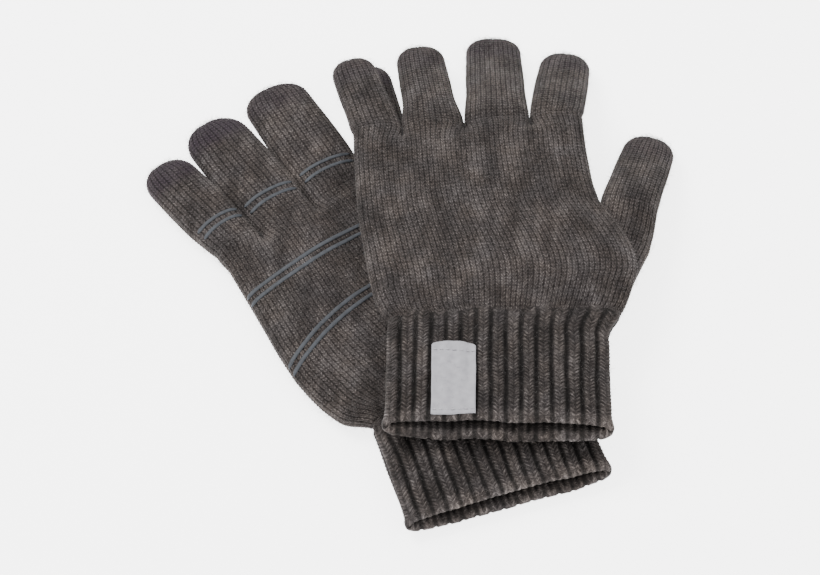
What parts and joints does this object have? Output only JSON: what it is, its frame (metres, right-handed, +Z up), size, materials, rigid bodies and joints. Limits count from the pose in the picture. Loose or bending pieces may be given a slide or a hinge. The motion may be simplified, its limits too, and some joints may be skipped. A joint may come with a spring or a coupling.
{
  "type": "pair of knitted gloves",
  "caption": "Knitted touchscreen gloves with ribbed cuffs, printed grip lines and a cuff label, lying one across the other.",
  "frame": {"origin": "middle of the pair's footprint on the table, at table height", "axes": "+Z up out of the table, +Y towards the upper glove's fingertips, +X towards the upper glove's thumb"},
  "size_m": [0.24, 0.2666, 0.0292],
  "materials": {
    "body_knit": "matte heathered charcoal wool-blend knit",
    "rib_knit": "matte heathered charcoal ribbed knit",
    "touch_knit": "matte conductive-yarn knit",
    "brushed_lining": "brushed microfibre",
    "grip_print": "smooth satin silicone print",
    "woven_label": "satin weave",
    "label_thread": "twisted thread"
  },
  "bodies": {
    "right_hand": {"right_cuff": "rib_knit", "right_index_grip_lines": "grip_print", "right_index_lining": "brushed_lining", "right_index_touch_tip": "touch_knit", "right_index_tube": "body_knit", "right_middle_grip_lines": "grip_print", "right_middle_lining": "brushed_lining", "right_middle_touch_tip": "touch_knit", "right_middle_tube": "body_knit", "right_palm": "body_knit", "right_palm_grip_lines": "grip_print", "right_palm_lining": "brushed_lining", "right_thumb_lining": "brushed_lining", "right_thumb_touch_tip": "touch_knit", "right_thumb_tube": "body_knit"},
    "left_hand": {"left_cuff": "rib_knit", "left_cuff_label": "woven_label", "left_label_stitches": "label_thread", "left_palm": "body_knit", "left_palm_grip_lines": "grip_print", "left_palm_lining": "brushed_lining"},
    "left_index": {"left_index_grip_lines": "grip_print", "left_index_lining": "brushed_lining", "left_index_touch_tip": "touch_knit", "left_index_tube": "body_knit"},
    "left_little": {"left_little_grip_lines": "grip_print", "left_little_lining": "brushed_lining", "left_little_touch_tip": "touch_knit", "left_little_tube": "body_knit"},
    "left_middle": {"left_middle_grip_lines": "grip_print", "left_middle_lining": "brushed_lining", "left_middle_touch_tip": "touch_knit", "left_middle_tube": "body_knit"},
    "left_ring": {"left_ring_grip_lines": "grip_print", "left_ring_lining": "brushed_lining", "left_ring_touch_tip": "touch_knit", "left_ring_tube": "body_knit"},
    "left_thumb": {"left_thumb_lining": "brushed_lining", "left_thumb_touch_tip": "touch_knit", "left_thumb_tube": "body_knit"},
    "right_little": {"right_little_grip_lines": "grip_print", "right_little_lining": "brushed_lining", "right_little_touch_tip": "touch_knit", "right_little_tube": "body_knit"},
    "right_ring": {"right_ring_grip_lines": "grip_print", "right_ring_lining": "brushed_lining", "right_ring_touch_tip": "touch_knit", "right_ring_tube": "body_knit"}
  },
  "joints": [
    {"name": "left_glove_lift", "type": "slide", "parent": "right_hand", "child": "left_hand", "axis": [0, 0, 1], "range_m": [0, 0.12]},
    {"name": "left_little_fold", "type": "hinge", "parent": "left_hand", "child": "left_little", "pos_m": [-0.0144, 0.06165, 0.028], "axis": [0.9951, 0.0993, 0], "range_deg": [0, 75]},
    {"name": "left_ring_fold", "type": "hinge", "parent": "left_hand", "child": "left_ring", "pos_m": [0.01077, 0.06417, 0.028], "axis": [0.9951, 0.0993, 0], "range_deg": [0, 75]},
    {"name": "left_middle_fold", "type": "hinge", "parent": "left_hand", "child": "left_middle", "pos_m": [0.03953, 0.06704, 0.028], "axis": [0.9951, 0.0993, 0], "range_deg": [0, 75]},
    {"name": "left_index_fold", "type": "hinge", "parent": "left_hand", "child": "left_index", "pos_m": [0.06689, 0.06977, 0.028], "axis": [0.9951, 0.0993, 0], "range_deg": [0, 75]},
    {"name": "left_thumb_fold", "type": "hinge", "parent": "left_hand", "child": "left_thumb", "pos_m": [0.09712, 0.02256, 0.0225], "axis": [0.9563, -0.2924, 0], "range_deg": [0, 75]},
    {"name": "right_little_fold", "type": "hinge", "parent": "right_hand", "child": "right_little", "pos_m": [-0.07619, 0.00872, 0.0132], "axis": [0.829, 0.5592, 0], "range_deg": [0, 80]},
    {"name": "right_ring_fold", "type": "hinge", "parent": "right_hand", "child": "right_ring", "pos_m": [-0.05522, 0.02287, 0.0132], "axis": [0.829, 0.5592, 0], "range_deg": [0, 80]}
  ]
}
